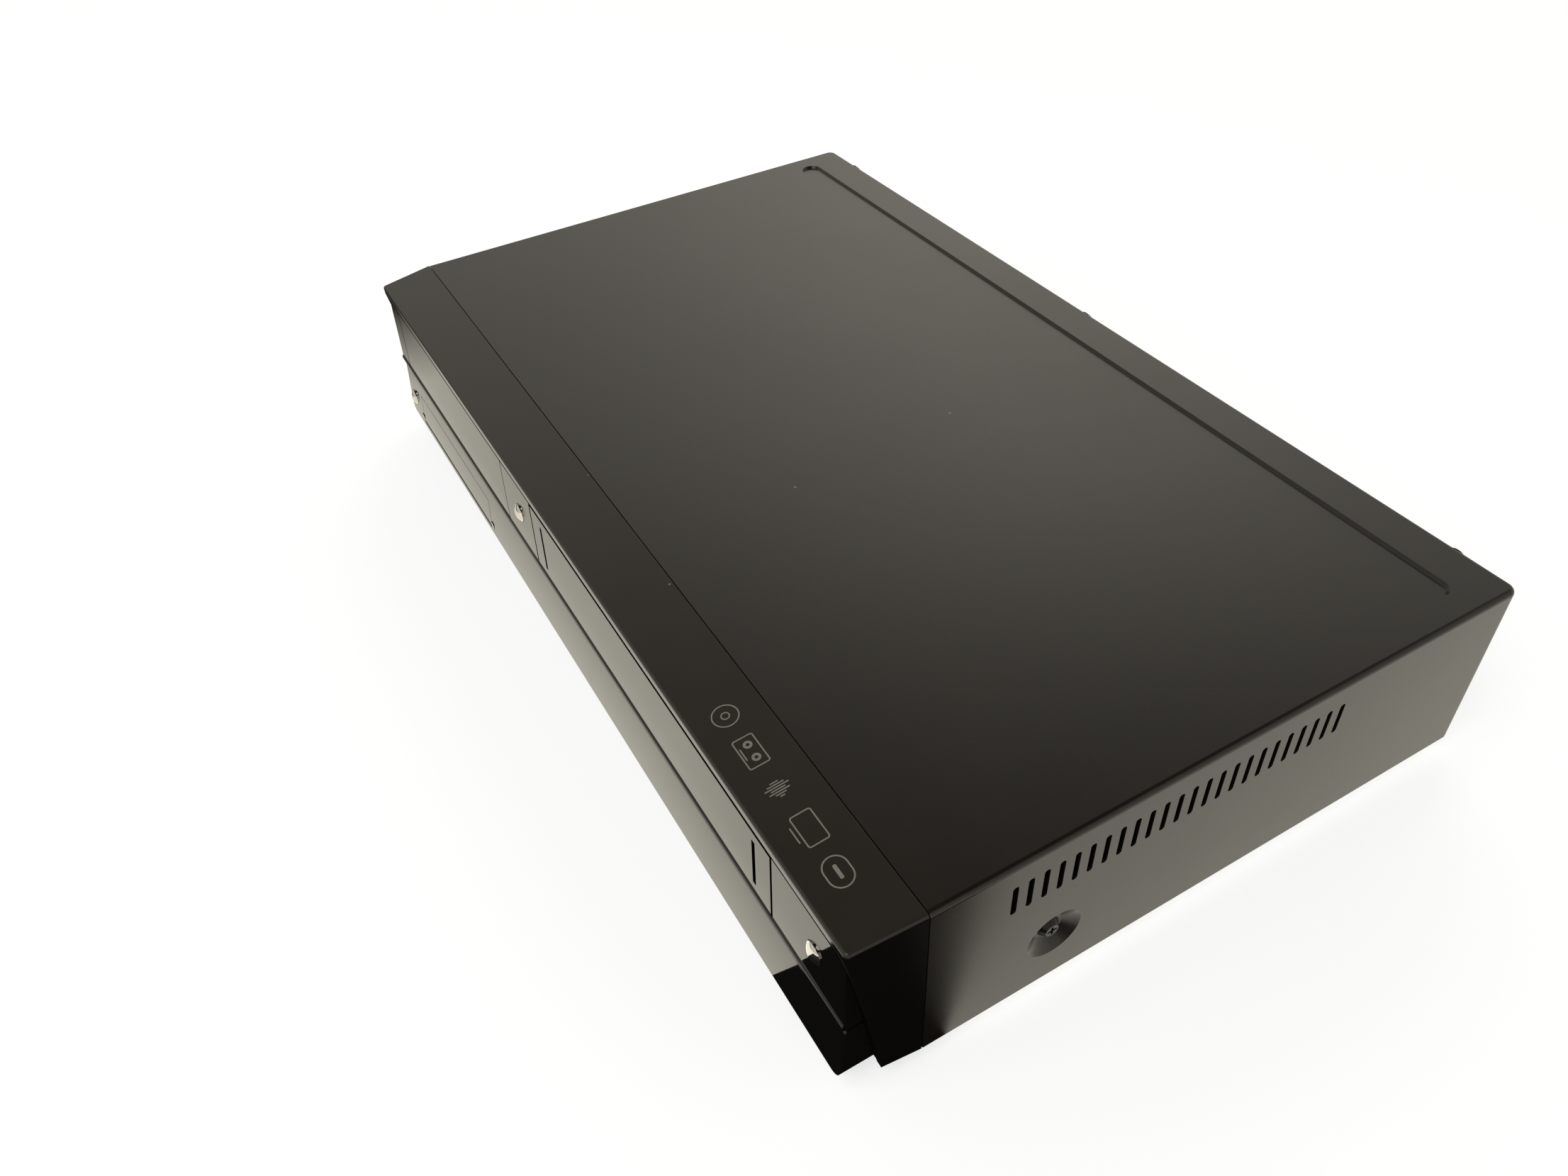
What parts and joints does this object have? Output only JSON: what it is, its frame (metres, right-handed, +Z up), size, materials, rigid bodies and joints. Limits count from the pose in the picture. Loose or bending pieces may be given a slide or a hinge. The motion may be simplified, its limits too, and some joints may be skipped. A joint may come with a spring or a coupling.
{
  "type": "dvd vcr combo player",
  "caption": "Home disc and video cassette combination player: flat black casing, glossy front with disc tray, cassette door, jack door and domed buttons.",
  "frame": {"origin": "on the supporting surface, under the middle of the overall box", "axes": "+X to the right seen from the front, +Y to the back, +Z up"},
  "size_m": [0.43, 0.2691, 0.0785],
  "materials": {
    "cover_steel": "satin black paint",
    "pan_steel": "zinc-plated sheet",
    "fascia_black": "fine satin black moulding",
    "gloss_black": "high gloss black",
    "button_chrome": "bright plated",
    "screw_black": "black oxide",
    "foot_plastic": "black moulding",
    "pad_rubber": "soft pad",
    "tray_plastic": "fine textured black",
    "frame_plastic": "black moulding",
    "gear_plastic": "natural acetal",
    "belt_rubber": "drive belt",
    "motor_steel": "plated can",
    "spring_steel": "spring wire",
    "pickup_metal": "die cast",
    "deck_steel": "plated deck",
    "drum_aluminium": "polished",
    "roller_rubber": "ground rubber",
    "board_green": "solder resist",
    "board_brown": "paper board",
    "transformer_tape": "wound core with tape",
    "tube_glass": "display tube",
    "socket_black": "socket shell",
    "socket_metal": "plated shell"
  },
  "bodies": {
    "casing": {"top_cover": "cover_steel", "cover_screws": "screw_black", "chassis_pan": "pan_steel", "feet": "foot_plastic", "foot_pads": "pad_rubber", "rear_panel": "pan_steel", "front_fascia": "fascia_black", "upper_panel": "gloss_black", "lower_panel": "gloss_black", "door_spring": "spring_steel", "switch_boards": "board_green", "loader_frame": "frame_plastic", "tray_motor": "motor_steel", "tray_belt": "belt_rubber", "clamp_bridge": "pan_steel", "deck_plate": "deck_steel", "drum_base": "drum_aluminium", "capstan_motor": "motor_steel", "tape_heads": "motor_steel", "loading_motor": "motor_steel", "lift_rails": "deck_steel", "main_board": "board_green", "disc_board": "board_green", "power_board": "board_brown", "power_transformer": "transformer_tape", "display_board": "board_green", "display_tube": "tube_glass", "front_jacks": "socket_black", "scart_sockets": "socket_black", "phono_block": "socket_black", "hdmi_socket": "socket_metal", "tuner_module": "socket_metal", "mains_inlet": "socket_black", "fan_frame": "socket_black"},
    "tray": {"disc_tray": "tray_plastic", "tray_door": "gloss_black"},
    "tray_gear": {"tray_gear": "gear_plastic"},
    "motor_pulley": {"motor_pulley": "gear_plastic"},
    "traverse": {"traverse_deck": "pan_steel", "pickup_rails": "spring_steel", "spindle_motor": "motor_steel"},
    "pickup": {"optical_pickup": "pickup_metal"},
    "turntable": {"turntable": "frame_plastic"},
    "disc_clamp": {"disc_clamp": "gear_plastic"},
    "cassette_door": {"cassette_door": "gloss_black"},
    "jack_door": {"jack_door": "gloss_black"},
    "power_button": {"power_button": "button_chrome"},
    "disc_button": {"disc_button": "button_chrome"},
    "tape_button": {"tape_button": "button_chrome"},
    "lift_carriage": {"lift_carriage": "deck_steel"},
    "cassette_cage": {"cassette_cage": "deck_steel"},
    "supply_reel": {"supply_reel": "gear_plastic"},
    "takeup_reel": {"takeup_reel": "gear_plastic"},
    "head_drum": {"head_drum": "drum_aluminium"},
    "capstan": {"capstan_rotor": "motor_steel"},
    "pinch_arm": {"pinch_arm": "deck_steel"},
    "pinch_roller": {"pinch_roller": "roller_rubber"},
    "supply_guide": {"supply_guide": "gear_plastic"},
    "takeup_guide": {"takeup_guide": "gear_plastic"},
    "fan_rotor": {"fan_rotor": "socket_black"}
  },
  "joints": [
    {"name": "tray_slide", "type": "slide", "parent": "casing", "child": "tray", "axis": [0, -1, 0], "range_m": [0, 0.134]},
    {"name": "tray_gear_turn", "type": "hinge", "parent": "casing", "child": "tray_gear", "pos_m": [-0.07865, -0.10175, 0.04], "axis": [0, 0, 1], "range_deg": [-645, 5]},
    {"name": "motor_pulley_turn", "type": "hinge", "parent": "casing", "child": "motor_pulley", "pos_m": [-0.06965, -0.07475, 0.04], "axis": [0, 0, 1], "range_deg": [-1450, 5]},
    {"name": "traverse_tilt", "type": "hinge", "parent": "casing", "child": "traverse", "pos_m": [-0.12665, 0.01607, 0.039], "axis": [1, 0, 0], "range_deg": [0, 5]},
    {"name": "pickup_slide", "type": "slide", "parent": "traverse", "child": "pickup", "axis": [0, 1, 0], "range_m": [0, 0.032]},
    {"name": "turntable_spin", "type": "hinge", "parent": "traverse", "child": "turntable", "pos_m": [-0.12665, -0.06193, 0.045], "axis": [0, 0, 1], "continuous": true},
    {"name": "clamp_spin", "type": "hinge", "parent": "casing", "child": "disc_clamp", "pos_m": [-0.12665, -0.06193, 0.058], "axis": [0, 0, 1], "continuous": true},
    {"name": "cassette_door_swing", "type": "hinge", "parent": "casing", "child": "cassette_door", "pos_m": [0, -0.12919, 0.0699], "axis": [1, 0, 0], "range_deg": [0, 88], "stiffness_Nm_per_rad": 0.01},
    {"name": "jack_door_swing", "type": "hinge", "parent": "casing", "child": "jack_door", "pos_m": [0, -0.13272, 0.011], "axis": [1, 0, 0], "range_deg": [0, 95]},
    {"name": "power_button_press", "type": "slide", "parent": "casing", "child": "power_button", "axis": [0, 1, 0], "range_m": [0, 0.0008], "stiffness_N_per_m": 400},
    {"name": "disc_button_press", "type": "slide", "parent": "casing", "child": "disc_button", "axis": [0, 1, 0], "range_m": [0, 0.0008], "stiffness_N_per_m": 400},
    {"name": "tape_button_press", "type": "slide", "parent": "casing", "child": "tape_button", "axis": [0, 1, 0], "range_m": [0, 0.0008], "stiffness_N_per_m": 400},
    {"name": "carriage_slide", "type": "slide", "parent": "casing", "child": "lift_carriage", "axis": [0, 1, 0], "range_m": [0, 0.022]},
    {"name": "cage_drop", "type": "slide", "parent": "lift_carriage", "child": "cassette_cage", "axis": [0, 0, -1], "range_m": [0, 0.011]},
    {"name": "supply_reel_spin", "type": "hinge", "parent": "casing", "child": "supply_reel", "pos_m": [0.02835, -0.07575, 0.03], "axis": [0, 0, 1], "continuous": true},
    {"name": "takeup_reel_spin", "type": "hinge", "parent": "casing", "child": "takeup_reel", "pos_m": [0.12035, -0.07575, 0.03], "axis": [0, 0, 1], "continuous": true},
    {"name": "head_drum_spin", "type": "hinge", "parent": "casing", "child": "head_drum", "pos_m": [0.07435, 0.04025, 0.034], "axis": [-0.1045, 0, 0.9945], "continuous": true},
    {"name": "capstan_spin", "type": "hinge", "parent": "casing", "child": "capstan", "pos_m": [0.12835, 0.00625, 0.03], "axis": [0, 0, 1], "continuous": true},
    {"name": "pinch_arm_swing", "type": "hinge", "parent": "casing", "child": "pinch_arm", "pos_m": [0.16035, 0.01025, 0.042], "axis": [0, 0, 1], "range_deg": [0, 27]},
    {"name": "pinch_roller_spin", "type": "hinge", "parent": "pinch_arm", "child": "pinch_roller", "pos_m": [0.13643, 0.01849, 0.036], "axis": [0, 0, 1], "continuous": true},
    {"name": "supply_guide_slide", "type": "slide", "parent": "casing", "child": "supply_guide", "axis": [0, 1, 0], "range_m": [0, 0.042]},
    {"name": "takeup_guide_slide", "type": "slide", "parent": "casing", "child": "takeup_guide", "axis": [0, 1, 0], "range_m": [0, 0.042]},
    {"name": "fan_spin", "type": "hinge", "parent": "casing", "child": "fan_rotor", "pos_m": [-0.112, 0.11895, 0.0445], "axis": [0, 1, 0], "continuous": true}
  ],
  "couplings": [
    {"joint": "tray_gear_turn", "follows": "tray_slide", "rad_per_m": -83.333},
    {"joint": "motor_pulley_turn", "follows": "tray_slide", "rad_per_m": -187.5},
    {"joint": "takeup_guide_slide", "follows": "supply_guide_slide", "ratio": 1}
  ]
}
